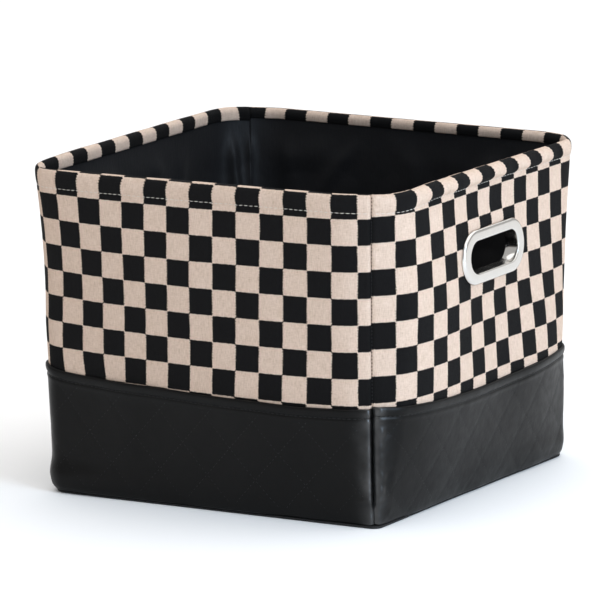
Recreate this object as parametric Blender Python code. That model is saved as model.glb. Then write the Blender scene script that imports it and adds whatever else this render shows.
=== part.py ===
"""Square fabric storage bin: checked cloth over a quilted leatherette band, stiffened walls, wired rim.

The origin is at the middle of the base, on the surface that the bin stands on. +Z is up, -Y is the front
wall and +X is the right wall. Two equal L-shaped panels make each cloth layer: one covers the right and
back walls, and the other, turned half a turn about Z, covers the left and front walls. They are sewn
together at the front-right and back-left corners. Wall pieces are strips between two chains of
(inset, height) points, where the inset is how far a point lies inside the outer face of the checked cloth.
"""

import math
from functools import lru_cache

import bmesh
import bpy
from mathutils import Matrix, Vector

# Overall size, in metres
HEIGHT = 0.254
TOP_SIDE = 0.310
BASE_SIDE = 0.282
GAP = 0.0003

# Plan shape: the seam corners are sharp at the base and open into a wide round at the rim; the folded
# corners between them are tight all the way up
SEAM_RADIUS_TOP = 0.048
SEAM_RADIUS_BASE = 0.006
FOLD_RADIUS = 0.014
SEAM_FRACTION = 0.45  # where the seam lies along its corner's arc, from the front or back wall's end
FOLD_WAIST = (0.0022, -0.0085)  # how far the right-back fold has drifted at half height
BASE_SKEW = 0.0060  # how far the base's folded corners stand out, and its seam corners stand in

# Outward bulge of a wall at half height: in the middle, per unit towards its far end, per unit downwards,
# per unit of both (a twist), and towards both ends
FRONT_BULGE = (0.0103, 0.0021, -0.0102, 0.0358, 0.0052)
SIDE_BULGE = (0.0073, -0.0057, 0.0155, 0.0099, 0.0247)
LOWEST_GAIN = 0.2  # the downward terms stop growing this far below half height
BULGE_POWER = 1.25

# Layers, from the outside in
FABRIC = 0.0012
LEATHER = 0.0012
BOARD = 0.0020
LINER = 0.0008
BOARD_OUTER = FABRIC + GAP
BOARD_INNER = BOARD_OUTER + BOARD
LINER_OUTER = BOARD_INNER + GAP
LINER_INNER = LINER_OUTER + LINER

# Rim: the cloth turns over a steel wire and down inside
WIRE_RADIUS = 0.002
HEM_MID = FABRIC + GAP + WIRE_RADIUS
HEM_DEPTH = 0.015
BOARD_TOP = HEIGHT - 2 * HEM_MID - 0.001
LINER_TOP = BOARD_TOP - 0.001

# Leatherette band and base
BAND_TOP = 0.092
BAND_LAP = 0.012
BASE_PLATE = 0.0018
BASE_LIP = 0.003
WALL_FOOT = BASE_PLATE + GAP
LEVELS = (0.030, 0.056, BAND_TOP - BAND_LAP, BAND_TOP, 0.124, 0.156, 0.188, 0.220, BOARD_TOP)

# Loose base insert
INSERT_SIDE = 0.258
INSERT_RADIUS = 0.012
INSERT_BOARD = 0.0024
INSERT_SKIN = 0.0008
LINER_BOTTOM_SKIN = 0.0006

# Handles: an oval metal eyelet through each side wall, with a backing washer inside
HANDLE_Y = 0.006
HANDLE_Z = 0.186
HANDLE_OPENING = (0.078, 0.0246)
HANDLE_FLANGE = (0.100, 0.042)
EYELET_WALL = 0.0008
EYELET_RISE = 0.0028
WASHER = 0.0010
WASHER_SIZE = (0.096, 0.040)
BARREL_PAST_WASHER = 0.0006

ARC_STEPS = 4
WALL_STEPS = 7
BOARD_SETBACK = 0.03  # the part of a wall's straight run that its board leaves free at each end
OVAL_STEPS = 32

FRONT_RIGHT, RIGHT_BACK, BACK_LEFT, LEFT_FRONT = range(4)
RIGHT, BACK, LEFT, FRONT = range(4)


def clear_scene():
    for thing in list(bpy.data.objects):
        bpy.data.objects.remove(thing, do_unlink=True)


def material(name, colour, roughness, metallic=0.0):
    made = bpy.data.materials.new(name)
    made.use_nodes = True
    shader = made.node_tree.nodes["Principled BSDF"]
    shader.inputs["Base Color"].default_value = (*colour, 1.0)
    shader.inputs["Roughness"].default_value = roughness
    shader.inputs["Metallic"].default_value = metallic
    return made


def add_object(name, mesh, surface, matrix=None):
    """Turns a bmesh into a named object with its faces pointing out."""
    bmesh.ops.recalc_face_normals(mesh, faces=mesh.faces)
    data = bpy.data.meshes.new(name)
    mesh.to_mesh(data)
    mesh.free()
    data.shade_smooth()
    data.set_sharp_from_angle(angle=math.radians(35))
    data.materials.append(surface)
    made = bpy.data.objects.new(name, data)
    bpy.context.scene.collection.objects.link(made)
    if matrix is not None:
        made.matrix_world = matrix
    return made


# ---- the wall surface ----


def bow(z):
    """0 at the base and the rim, 1 at half height."""
    down = 1 - z / HEIGHT
    return 4 * down * (1 - down)


@lru_cache(maxsize=None)
def corner_arcs(z):
    """Each corner's arc at height z: centre, first normal, turn, radius, first point and last point.

    The corners run counter-clockwise from the front-right one.
    """
    up = z / HEIGHT
    half = (BASE_SIDE + (TOP_SIDE - BASE_SIDE) * up) / 2
    skew = BASE_SKEW * (1 - up)
    seam, fold = half - skew, half + skew
    drift = Vector(FOLD_WAIST) * bow(z)
    corners = [
        Vector((seam, -seam)),
        Vector((fold, fold)) + drift,
        Vector((-seam, seam)),
        Vector((-fold, -fold)) - drift,
    ]
    seam_radius = SEAM_RADIUS_BASE + (SEAM_RADIUS_TOP - SEAM_RADIUS_BASE) * math.sqrt(up)
    arcs = []
    for index, corner in enumerate(corners):
        into = (corner - corners[index - 1]).normalized()
        away = (corners[(index + 1) % 4] - corner).normalized()
        radius = seam_radius if index in (FRONT_RIGHT, BACK_LEFT) else FOLD_RADIUS
        turn = math.atan2(into.x * away.y - into.y * away.x, into.dot(away))
        tangent = radius * math.tan(turn / 2)
        normal = Vector((into.y, -into.x))
        first = corner - into * tangent
        arcs.append((first - normal * radius, normal, turn, radius, first, corner + away * tangent))
    return arcs


def arc_point(z, corner, fraction):
    """Place and outward normal, in plan, along a corner's arc."""
    centre, first_normal, turn, radius, _, _ = corner_arcs(z)[corner]
    normal = Matrix.Rotation(turn * fraction, 2) @ first_normal
    return centre + normal * radius, normal


def bulge(z, wall, place):
    """How far the wall stands out at a place in plan; it falls to nothing at the corners' middles."""
    start = arc_point(z, wall, 0.5)[0]
    end = arc_point(z, (wall + 1) % 4, 0.5)[0]
    along = 2 * (place - start).dot(end - start) / (end - start).length_squared - 1
    along = max(-1.0, min(1.0, along))
    low = min(0.5 - z / HEIGHT, LOWEST_GAIN)
    middle, slant, lower, twist, ends = FRONT_BULGE if wall in (FRONT, BACK) else SIDE_BULGE
    height = middle + slant * along + lower * low + twist * along * low + ends * along**2
    return (1 - along**2) ** BULGE_POWER * bow(z) * height


def wall_point(station, z, inset):
    """A point of the walls. A station is (is it on an arc, which corner or wall, fraction along it)."""
    on_arc, index, fraction = station
    if on_arc:
        place, normal = arc_point(z, index, fraction)
        wall = index if fraction >= 0.5 else (index - 1) % 4
    else:
        start = corner_arcs(z)[index][5]
        end = corner_arcs(z)[(index + 1) % 4][4]
        place = start.lerp(end, fraction)
        run = (end - start).normalized()
        normal = Vector((run.y, -run.x))
        wall = index
    place = place + normal * (bulge(z, wall, place) - inset)
    return Vector((place.x, place.y, z))


def arc_stations(corner, first, last):
    steps = 3 if corner in (FRONT_RIGHT, BACK_LEFT) else ARC_STEPS
    return [(True, corner, first + (last - first) * i / steps) for i in range(steps + 1)]


def wall_stations(wall):
    """Stations between a wall's two arcs. Every layer shares them, so that their facets stay parallel."""
    run = 1 - 2 * BOARD_SETBACK
    return [(False, wall, BOARD_SETBACK + run * i / WALL_STEPS) for i in range(WALL_STEPS + 1)]


def panel_stations(first_corner):
    """From the seam at one corner, round two walls, to the seam at the opposite corner."""
    fold = first_corner + 1
    last = (first_corner + 2) % 4
    return (
        arc_stations(first_corner, SEAM_FRACTION, 1)
        + wall_stations(first_corner)
        + arc_stations(fold, 0, 1)
        + wall_stations(fold)
        + arc_stations(last, 0, SEAM_FRACTION)
    )


RIGHT_BACK_RUN = panel_stations(FRONT_RIGHT)
LEFT_FRONT_RUN = panel_stations(BACK_LEFT)


def seam_gap(stations, z_run, inset):
    """Draws a run's two ends back by a gap, so that the panels meet without touching."""
    points = [wall_point(s, z_run, inset) for s in stations[:2] + stations[-2:]]
    first = (points[1] - points[0]).length
    last = (points[3] - points[2]).length
    trimmed = list(stations)
    on_arc, corner, fraction = trimmed[0]
    trimmed[0] = (on_arc, corner, fraction + (trimmed[1][2] - fraction) * GAP / first)
    on_arc, corner, fraction = trimmed[-1]
    trimmed[-1] = (on_arc, corner, fraction - (fraction - trimmed[-2][2]) * GAP / last)
    return trimmed


def strip(name, stations, outer, inner, surface):
    """A layer of the wall between two equal chains of (inset, height) points, carried along the stations.

    Every quad is split along the diagonal that climbs with the stations, so that layers never cross.
    """
    mesh = bmesh.new()
    sheets = [
        [[mesh.verts.new(wall_point(s, z, inset)) for inset, z in chain] for s in stations]
        for chain in (outer, inner)
    ]
    last = len(outer) - 1
    for sheet in sheets:
        for here, there in zip(sheet, sheet[1:]):
            for i in range(last):
                mesh.faces.new((here[i], here[i + 1], there[i + 1]))
                mesh.faces.new((here[i], there[i + 1], there[i]))
    for out_here, out_there, in_here, in_there in zip(sheets[0], sheets[0][1:], sheets[1], sheets[1][1:]):
        for i in (0, last):
            mesh.faces.new((out_here[i], out_there[i], in_there[i], in_here[i]))
    for end in (0, -1):
        out_end, in_end = sheets[0][end], sheets[1][end]
        for i in range(last):
            mesh.faces.new((out_end[i], out_end[i + 1], in_end[i + 1], in_end[i]))
    return add_object(name, mesh, surface)


def heights(low, high):
    return [low] + [z for z in LEVELS if low + 0.004 < z < high - 0.004] + [high]


def flat_chains(low, high, outer_inset, inner_inset):
    """The two chains of a layer that follows the wall and doesn't turn over."""
    levels = heights(low, high)
    return [(outer_inset, z) for z in levels], [(inner_inset, z) for z in levels]


def hem_chains():
    """Checked cloth: up the wall, over the wire in a half circle, and down inside."""
    top = HEIGHT - HEM_MID
    rise = heights(BAND_TOP - BAND_LAP, top)
    outer = [(0.0, z) for z in rise]
    inner = [(FABRIC, z) for z in rise]
    for step in range(1, ARC_STEPS + 1):
        angle = math.pi * step / ARC_STEPS
        for chain, radius in ((outer, HEM_MID), (inner, HEM_MID - FABRIC)):
            chain.append((HEM_MID - radius * math.cos(angle), top + radius * math.sin(angle)))
    outer.append((2 * HEM_MID, HEIGHT - HEM_DEPTH))
    inner.append((2 * HEM_MID - FABRIC, HEIGHT - HEM_DEPTH))
    return outer, inner


# ---- flat pieces ----


def plate(name, outline, low, high, surface):
    """A flat plate with the outline's plan shape."""
    mesh = bmesh.new()
    base = mesh.faces.new([mesh.verts.new((p.x, p.y, low)) for p in outline])
    grown = bmesh.ops.extrude_face_region(mesh, geom=[base])
    moved = [v for v in grown["geom"] if isinstance(v, bmesh.types.BMVert)]
    bmesh.ops.translate(mesh, verts=moved, vec=(0, 0, high - low))
    return add_object(name, mesh, surface)


def wall_outline(z, inset):
    return [wall_point(s, z, inset) for s in RIGHT_BACK_RUN[:-1] + LEFT_FRONT_RUN[:-1]]


def rounded_square(side, radius):
    """Plan outline of a square with round corners."""
    reach = side / 2 - radius
    points = []
    for quarter, (sx, sy) in enumerate(((1, 1), (-1, 1), (-1, -1), (1, -1))):
        for step in range(ARC_STEPS + 1):
            angle = math.pi / 2 * (quarter + step / ARC_STEPS)
            x = sx * reach + radius * math.cos(angle)
            y = sy * reach + radius * math.sin(angle)
            points.append(Vector((x, y, 0)))
    return points


# ---- handles ----


def oval_ring(size, depth):
    """Points of an oval with straight sides, in the handle's frame: X out of the wall, Y along, Z up."""
    length, width = size
    radius = width / 2
    reach = length / 2 - radius
    points = []
    for step in range(OVAL_STEPS):
        angle = 2 * math.pi * (step + 0.5) / OVAL_STEPS
        shift = reach if math.cos(angle) > 0 else -reach
        points.append(Vector((depth, shift + radius * math.cos(angle), radius * math.sin(angle))))
    return points


def oval_band(name, profile, surface, matrix):
    """A closed ring-shaped solid through a list of ovals, each ((length, width), depth)."""
    mesh = bmesh.new()
    rings = [[mesh.verts.new(p) for p in oval_ring(size, depth)] for size, depth in profile]
    for here, there in zip(rings, rings[1:] + rings[:1]):
        for i in range(OVAL_STEPS):
            j = (i + 1) % OVAL_STEPS
            mesh.faces.new((here[i], here[j], there[j], there[i]))
    return add_object(name, mesh, surface, matrix)


def oval_plug(name, size, half_depth, matrix):
    """Cutter for the slot that a handle passes through."""
    mesh = bmesh.new()
    near = [mesh.verts.new(p) for p in oval_ring(size, -half_depth)]
    far = [mesh.verts.new(p) for p in oval_ring(size, half_depth)]
    mesh.faces.new(near)
    mesh.faces.new(far[::-1])
    for i in range(OVAL_STEPS):
        j = (i + 1) % OVAL_STEPS
        mesh.faces.new((near[i], far[i], far[j], near[j]))
    cutter = add_object(name, mesh, material(name, (1, 0, 0), 0.5), matrix)
    cutter.hide_render = True
    cutter.display_type = "WIRE"
    return cutter


def right_wall_station(y, z):
    """The station of the right wall that lies at y."""
    start = corner_arcs(z)[RIGHT][5].y
    end = corner_arcs(z)[RIGHT + 1][4].y
    return (False, RIGHT, (y - start) / (end - start))


def right_handle_frame():
    """The right handle's frame on the cloth, with its X along the wall's outward normal."""
    reach = 0.02

    def place(dy, dz):
        return wall_point(right_wall_station(HANDLE_Y + dy, HANDLE_Z + dz), HANDLE_Z + dz, 0)

    origin = place(0, 0)
    ends = [place(-2 * reach, 0), place(2 * reach, 0)]
    sides = [place(0, -reach), place(0, reach)]
    along = (ends[1] - ends[0]).normalized()
    out = along.cross(sides[1] - sides[0]).normalized()
    up = out.cross(along)
    frame = Matrix((out, along, up)).transposed().to_4x4()
    frame.translation = origin
    return frame


def face_depths(frame, size, inset):
    """Local depths of the wall's face at this inset, under an oval of this size."""
    inverse = frame.inverted()
    depths = []
    for point in oval_ring(size, 0) + [Vector((0, 0, 0))]:
        place = frame @ point
        depths.append((inverse @ wall_point(right_wall_station(place.y, place.z), place.z, inset)).x)
    return depths


RIGHT_HANDLE = right_handle_frame()
HALF_TURN = Matrix.Rotation(math.pi, 4, "Z")
FLANGE_FOOT = max(face_depths(RIGHT_HANDLE, HANDLE_FLANGE, 0)) + GAP
WASHER_FACE = min(face_depths(RIGHT_HANDLE, WASHER_SIZE, LINER_INNER)) - GAP
WASHER_BACK = WASHER_FACE - WASHER
BARREL_END = WASHER_BACK - BARREL_PAST_WASHER


def grown(size, by):
    """An oval's size with by more on every side."""
    return (size[0] + 2 * by, size[1] + 2 * by)


def slot_cutters():
    size = grown(HANDLE_OPENING, EYELET_WALL + GAP)
    return {
        RIGHT: oval_plug("right_slot_cutter", size, 0.02, RIGHT_HANDLE),
        LEFT: oval_plug("left_slot_cutter", size, 0.02, HALF_TURN @ RIGHT_HANDLE),
    }


def cut(target, cutter):
    modifier = target.modifiers.new("handle_slot", "BOOLEAN")
    modifier.operation = "DIFFERENCE"
    modifier.solver = "EXACT"
    modifier.object = cutter


def handle(side, metal, backing, matrix):
    """Domed eyelet with its barrel through the wall, and the washer that backs it."""
    barrel = grown(HANDLE_OPENING, EYELET_WALL)
    top = FLANGE_FOOT + EYELET_RISE
    eyelet = [
        (HANDLE_OPENING, BARREL_END),
        (HANDLE_OPENING, top - 0.0012),
        (grown(HANDLE_OPENING, 0.0012), top - 0.0002),
        (grown(HANDLE_OPENING, 0.0040), top),
        (grown(HANDLE_FLANGE, -0.0014), top - 0.0008),
        (HANDLE_FLANGE, FLANGE_FOOT + 0.0004),
        (HANDLE_FLANGE, FLANGE_FOOT),
        (barrel, FLANGE_FOOT),
        (barrel, BARREL_END),
    ]
    oval_band(f"{side}_handle_eyelet", eyelet, metal, matrix)
    hole = grown(barrel, GAP)
    near = [(hole, WASHER_BACK), (hole, WASHER_FACE)]
    washer = near + [(WASHER_SIZE, WASHER_FACE), (WASHER_SIZE, WASHER_BACK)]
    oval_band(f"{side}_handle_washer", washer, backing, matrix)


# ---- the bin ----


def checked_panels(slots):
    cloth = {
        "right_back": material("checked_cloth_right_back", (0.47, 0.40, 0.34), 0.9),
        "left_front": material("checked_cloth_left_front", (0.47, 0.40, 0.34), 0.9),
    }
    runs = {"right_back": (RIGHT_BACK_RUN, RIGHT), "left_front": (LEFT_FRONT_RUN, LEFT)}
    outer, inner = hem_chains()
    for side, (run, wall) in runs.items():
        panel = strip(f"fabric_panel_{side}", seam_gap(run, HEIGHT / 2, 0), outer, inner, cloth[side])
        cut(panel, slots[wall])


def leather_bands():
    outer, inner = flat_chains(WALL_FOOT, BAND_TOP, -GAP - LEATHER, -GAP)
    for side, run in (("right_back", RIGHT_BACK_RUN), ("left_front", LEFT_FRONT_RUN)):
        surface = material(f"leatherette_{side}", (0.014, 0.014, 0.015), 0.38)
        strip(f"leather_band_{side}", seam_gap(run, BAND_TOP / 2, 0), outer, inner, surface)


def wall_boards(slots):
    """One flat stiffener in each wall, between the corners' arcs."""
    outer, inner = flat_chains(WALL_FOOT, BOARD_TOP, BOARD_OUTER, BOARD_INNER)
    for wall, side in ((RIGHT, "right"), (BACK, "back"), (LEFT, "left"), (FRONT, "front")):
        surface = material(f"{side}_board", (0.30, 0.25, 0.19), 0.95)
        board = strip(f"{side}_wall_board", wall_stations(wall), outer, inner, surface)
        if wall in slots:
            cut(board, slots[wall])


def liner(slots):
    outer, inner = flat_chains(WALL_FOOT, LINER_TOP, LINER_OUTER, LINER_INNER)
    for side, run, wall in (("right_back", RIGHT_BACK_RUN, RIGHT), ("left_front", LEFT_FRONT_RUN, LEFT)):
        surface = material(f"liner_{side}", (0.010, 0.010, 0.012), 0.6)
        panel = strip(f"liner_wall_{side}", seam_gap(run, HEIGHT / 2, LINER_OUTER), outer, inner, surface)
        cut(panel, slots[wall])
    outline = wall_outline(WALL_FOOT, LINER_INNER + 2 * GAP)
    surface = material("liner_bottom", (0.010, 0.010, 0.012), 0.6)
    plate("liner_bottom", outline, WALL_FOOT, WALL_FOOT + LINER_BOTTOM_SKIN, surface)


def rim_wire():
    """Steel wire bent to the rim's plan shape and joined end to end."""
    mesh = bmesh.new()
    sides = 8
    rings = []
    for station in RIGHT_BACK_RUN[:-1] + LEFT_FRONT_RUN[:-1]:
        ring = []
        for i in range(sides):
            angle = 2 * math.pi * (i + 0.5) / sides
            inset = HEM_MID + WIRE_RADIUS * math.cos(angle)
            z = HEIGHT - HEM_MID + WIRE_RADIUS * math.sin(angle)
            ring.append(mesh.verts.new(wall_point(station, z, inset)))
        rings.append(ring)
    for here, there in zip(rings, rings[1:] + rings[:1]):
        for i in range(sides):
            j = (i + 1) % sides
            mesh.faces.new((here[i], here[j], there[j], there[i]))
    add_object("rim_wire", mesh, material("rim_wire", (0.45, 0.45, 0.46), 0.35, 1.0))


def base():
    """The outer bottom, whose edge stands out past the band as the base seam's lip."""
    surface = material("base_cover", (0.012, 0.012, 0.013), 0.6)
    plate("base_cover", wall_outline(0.0, -BASE_LIP), 0.0, BASE_PLATE, surface)


def base_insert():
    """The loose board that lies on the bottom, with its cloth cover over the top and edges."""
    low = WALL_FOOT + LINER_BOTTOM_SKIN + GAP
    top = low + INSERT_BOARD + GAP + INSERT_SKIN
    inner_side = INSERT_SIDE - 2 * INSERT_SKIN
    inner_radius = INSERT_RADIUS - INSERT_SKIN
    board_outline = rounded_square(inner_side - 2 * GAP, inner_radius - GAP)
    fibreboard = material("insert_board", (0.30, 0.25, 0.19), 0.95)
    board = plate("base_insert_board", board_outline, low, low + INSERT_BOARD, fibreboard)
    cover_cloth = material("insert_cover", (0.010, 0.010, 0.012), 0.6)
    cover = plate("base_insert_cover", rounded_square(INSERT_SIDE, INSERT_RADIUS), low, top, cover_cloth)
    pocket_outline = rounded_square(inner_side, inner_radius)
    cutter_colour = material("insert_pocket", (1, 0, 0), 0.5)
    ceiling = top - INSERT_SKIN
    pocket = plate("insert_pocket_cutter", pocket_outline, low - 0.001, ceiling, cutter_colour)
    pocket.hide_render = True
    pocket.display_type = "WIRE"
    cut(cover, pocket)
    lift = bpy.data.objects.new("base_insert_lift", None)
    lift.location = (0, 0, low)
    bpy.context.scene.collection.objects.link(lift)
    for piece in (board, cover):
        piece.parent = lift
        piece.matrix_parent_inverse = Matrix.Translation((0, 0, -low))


def main():
    clear_scene()
    slots = slot_cutters()
    checked_panels(slots)
    leather_bands()
    wall_boards(slots)
    liner(slots)
    rim_wire()
    base()
    for side, matrix in (("right", RIGHT_HANDLE), ("left", HALF_TURN @ RIGHT_HANDLE)):
        metal = material(f"{side}_eyelet_metal", (0.82, 0.81, 0.79), 0.15, 1.0)
        backing = material(f"{side}_washer_metal", (0.72, 0.72, 0.71), 0.3, 1.0)
        handle(side, metal, backing, matrix)
    base_insert()


main()
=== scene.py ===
"""Visual model of the square checked storage bin, built round its CAD frame.

Walls are grids over the same surface as the CAD walls. A grid's columns are stations along an L-shaped run
from one corner seam, round a folded corner, to the other seam; its rows are heights. Distances along a run
are always measured from the front-right seam, because the woven checks are laid out from there.
"""

import math

import bmesh
import bpy
import numpy as np
from mathutils import Matrix, Vector

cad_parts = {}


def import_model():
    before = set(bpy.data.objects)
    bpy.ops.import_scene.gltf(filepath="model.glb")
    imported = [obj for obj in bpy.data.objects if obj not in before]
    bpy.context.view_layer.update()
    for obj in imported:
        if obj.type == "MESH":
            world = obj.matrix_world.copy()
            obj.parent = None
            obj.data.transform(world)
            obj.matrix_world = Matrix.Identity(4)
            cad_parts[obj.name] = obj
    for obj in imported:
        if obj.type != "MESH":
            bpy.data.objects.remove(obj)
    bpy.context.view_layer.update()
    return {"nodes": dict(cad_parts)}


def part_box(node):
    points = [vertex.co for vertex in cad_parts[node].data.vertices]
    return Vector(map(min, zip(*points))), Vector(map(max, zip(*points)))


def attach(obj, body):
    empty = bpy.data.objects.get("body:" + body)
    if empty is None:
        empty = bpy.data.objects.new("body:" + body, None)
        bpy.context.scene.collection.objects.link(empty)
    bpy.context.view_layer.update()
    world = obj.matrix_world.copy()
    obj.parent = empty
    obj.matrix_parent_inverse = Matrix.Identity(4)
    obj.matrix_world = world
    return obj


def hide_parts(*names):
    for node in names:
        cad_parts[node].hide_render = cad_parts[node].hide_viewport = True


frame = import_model()

# ---- the CAD's wall surface ----

HEIGHT = 0.254
TOP_SIDE = 0.310
BASE_SIDE = 0.282
SEAM_RADIUS_TOP = 0.048
SEAM_RADIUS_BASE = 0.006
FOLD_RADIUS = 0.014
SEAM_FRACTION = 0.45  # where a run ends in its seam corner's arc
FOLD_WAIST = (0.0022, -0.0085)  # how far the right-back corner leans in plan at half height
BASE_SKEW = 0.0060  # how far the base's plan is pulled out at the folded corners
# How far the walls belly out: in the middle, growing along, growing downwards, both at once, towards the ends
FRONT_BULGE = (0.0103, 0.0021, -0.0102, 0.0358, 0.0052)
SIDE_BULGE = (0.0073, -0.0057, 0.0155, 0.0099, 0.0247)
LOWEST_GAIN = 0.2  # the growth downwards stops this share of the height below the middle
BULGE_POWER = 1.25
FRONT_RIGHT, RIGHT_BACK, BACK_LEFT, LEFT_FRONT = range(4)
RIGHT, BACK, _, FRONT = range(4)

FABRIC = 0.0012
LINER = 0.0008
GAP = 0.0003
LINER_OUTER = 0.0038  # the lining's two faces, inwards from the cloth's outer face
LINER_INNER = 0.0046
LINER_TOP = 0.2472
BAND_TOP = 0.092
BASE_PLATE = 0.0018
WALL_FOOT = BASE_PLATE + GAP
HANDLE_Y = 0.006
HANDLE_Z = 0.186
OPENING = (0.078, 0.0246)  # a hand hole's length and width
FLANGE = (0.100, 0.042)
WASHER = (0.096, 0.040)

CHECK = 0.020
THREAD_PITCH = 0.00062
STITCH_DOWN = 0.0144  # the hem's topstitch, below the rim
# The rim stands higher at the back corner: by this much at the left wall's end and at the back wall's end
RIM_RISE = (0.0056, 0.0038)
# And lower along the front and right walls: by this much, and this much more beside their seam
RIM_DROP = (0.0026, 0.0013)
RIM_MOVES_FROM = 0.208  # the height where the walls begin to follow the rim
RIM_MOVES_WHOLE = HEIGHT - 0.006
CLEAR = 0.00015  # between the cloth or the lining and a hand hole's ring
SLOT = (OPENING[0] + 0.004, OPENING[1] + 0.004)  # the hole in the cloths behind each eyelet


def corner_arcs(z):
    """Each corner's arc at height z: centre, first normal's angle, turn, radius, first and last point."""
    up = z / HEIGHT
    half = (BASE_SIDE + (TOP_SIDE - BASE_SIDE) * up) / 2
    skew = BASE_SKEW * (1 - up)
    seam, fold = half - skew, half + skew
    drift = np.array(FOLD_WAIST) * 4 * up * (1 - up)
    corners = np.array([(seam, -seam), (fold, fold), (-seam, seam), (-fold, -fold)])
    corners[RIGHT_BACK] += drift
    corners[LEFT_FRONT] -= drift
    seam_radius = SEAM_RADIUS_BASE + (SEAM_RADIUS_TOP - SEAM_RADIUS_BASE) * math.sqrt(max(up, 0))
    arcs = []
    for index in range(4):
        into = corners[index] - corners[index - 1]
        away = corners[(index + 1) % 4] - corners[index]
        into /= np.linalg.norm(into)
        away /= np.linalg.norm(away)
        radius = seam_radius if index in (FRONT_RIGHT, BACK_LEFT) else FOLD_RADIUS
        turn = math.atan2(into[0] * away[1] - into[1] * away[0], into @ away)
        tangent = radius * math.tan(turn / 2)
        normal = np.array([into[1], -into[0]])
        first = corners[index] - into * tangent
        centre = first - normal * radius
        angle = math.atan2(normal[1], normal[0])
        arcs.append((centre, angle, turn, radius, first, corners[index] + away * tangent))
    return arcs


def on_arc(arcs, corner, fraction):
    """Places and outward normals at fractions of a corner's arc."""
    centre, angle, turn, radius, _, _ = arcs[corner]
    bearing = angle + turn * np.asarray(fraction, float)
    normal = np.stack([np.cos(bearing), np.sin(bearing)], -1)
    return centre + normal * radius, normal


def bulge(arcs, z, wall, places):
    """How far a wall bellies out at places on its straight line at height z."""
    start = on_arc(arcs, wall, 0.5)[0]
    end = on_arc(arcs, (wall + 1) % 4, 0.5)[0]
    run = end - start
    along = np.clip(2 * ((places - start) @ run) / (run @ run) - 1, -1, 1)
    low = min(0.5 - z / HEIGHT, LOWEST_GAIN)
    middle, slant, lower, twist, ends = FRONT_BULGE if wall in (FRONT, BACK) else SIDE_BULGE
    height = middle + slant * along + lower * low + twist * along * low + ends * along**2
    up = z / HEIGHT
    return (1 - along**2) ** BULGE_POWER * 4 * up * (1 - up) * height


def segments(first_corner, steps):
    """A run's pieces: (is it an arc, corner or wall, fractions along it)."""
    seam_steps, wall_steps, fold_steps = steps
    fold, last = first_corner + 1, (first_corner + 2) % 4
    return [
        (True, first_corner, np.linspace(SEAM_FRACTION, 1, seam_steps + 1)[:-1]),
        (False, first_corner, np.linspace(0, 1, wall_steps + 1)[:-1]),
        (True, fold, np.linspace(0, 1, fold_steps + 1)[:-1]),
        (False, fold, np.linspace(0, 1, wall_steps + 1)[:-1]),
        (True, last, np.linspace(0, SEAM_FRACTION, seam_steps + 1)),
    ]


def line_at(parts, z):
    """A run's places and outward normals in plan at height z, on the cloth's outer face."""
    arcs = corner_arcs(z)
    places, normals = [], []
    for is_arc, index, fractions in parts:
        if is_arc:
            place, normal = on_arc(arcs, index, fractions)
            late = bulge(arcs, z, index, place)
            early = bulge(arcs, z, (index - 1) % 4, place)
            out = np.where(fractions >= 0.5, late, early)
        else:
            start, end = arcs[index][5], arcs[(index + 1) % 4][4]
            place = start + (end - start) * fractions[:, None]
            run = (end - start) / np.linalg.norm(end - start)
            normal = np.broadcast_to([run[1], -run[0]], place.shape)
            out = bulge(arcs, z, index, place)
        places.append(place + normal * out[:, None])
        normals.append(normal)
    return np.concatenate(places), np.concatenate(normals)


class Run:
    """One L-shaped half of the walls, tabulated by height and station."""

    LEVEL_STEP = 0.0015
    SHORT_OF_LAST = 1.001  # keeps a level's whole part below the last row

    def __init__(self, name, first_corner, steps):
        self.name = name
        self.forward = first_corner == FRONT_RIGHT
        self.side = "right" if self.forward else "left"
        parts = segments(first_corner, steps)
        self.heights = np.linspace(0, HEIGHT, round(HEIGHT / self.LEVEL_STEP) + 1)
        lines = [line_at(parts, z) for z in self.heights]
        self.place = np.array([line[0] for line in lines])
        self.normal = np.array([line[1] for line in lines])
        step = np.linalg.norm(np.diff(self.place, axis=1), axis=2)
        self.along = np.concatenate([np.zeros((len(lines), 1)), np.cumsum(step, axis=1)], axis=1)
        if not self.forward:
            self.along = self.along[:, -1:] - self.along
        self.columns = self.place.shape[1]
        self.length = self.along[-1].max()
        self.fold_along = self.along[:, steps[0] + steps[1] + steps[2] // 2]
        self.fold = self.fold_along[-1]

    def _blend(self, table, z):
        """A table's values at height z[r, c] for each column c."""
        level = np.clip(z / HEIGHT * (len(self.heights) - 1), 0, len(self.heights) - self.SHORT_OF_LAST)
        low = level.astype(int)
        share = level - low
        columns = np.arange(self.columns)[None, :]
        if table.ndim == 3:
            share = share[..., None]
        return table[low, columns] * (1 - share) + table[low + 1, columns] * share

    def grid(self, z, out):
        """Points at height z and distance out from the cloth's outer face, both (rows, columns)."""
        place = self._blend(self.place, z) + self._blend(self.normal, z) * out[..., None]
        return np.concatenate([place, z[..., None]], axis=2)

    def distance(self, z):
        """Distance along the wall from the front-right seam, for each row and column."""
        return self._blend(self.along, z)

    def past_fold(self, u, z):
        """Distance past the folded corner at each height."""
        return u - np.interp(z, self.heights, self.fold_along)

    def last(self, z):
        """Distance to the back seam at height z."""
        return float(np.interp(z, self.heights, self.along.max(axis=1)))

    def spot(self, u, z):
        """Place and outward normal at distance u and height z."""
        level = min(z / HEIGHT * (len(self.heights) - 1), len(self.heights) - self.SHORT_OF_LAST)
        low = int(level)
        order = slice(None) if self.forward else slice(None, None, -1)
        found = []
        for k in (low, low + 1):
            columns = np.concatenate([self.place[k], self.normal[k]], axis=1)[order].T
            found.append(np.array([np.interp(u, self.along[k][order], column) for column in columns]))
        x, y, nx, ny = found[0] * (1 - (level - low)) + found[1] * (level - low)
        return Vector((x, y, z)), Vector((nx, ny, 0)).normalized()


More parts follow.
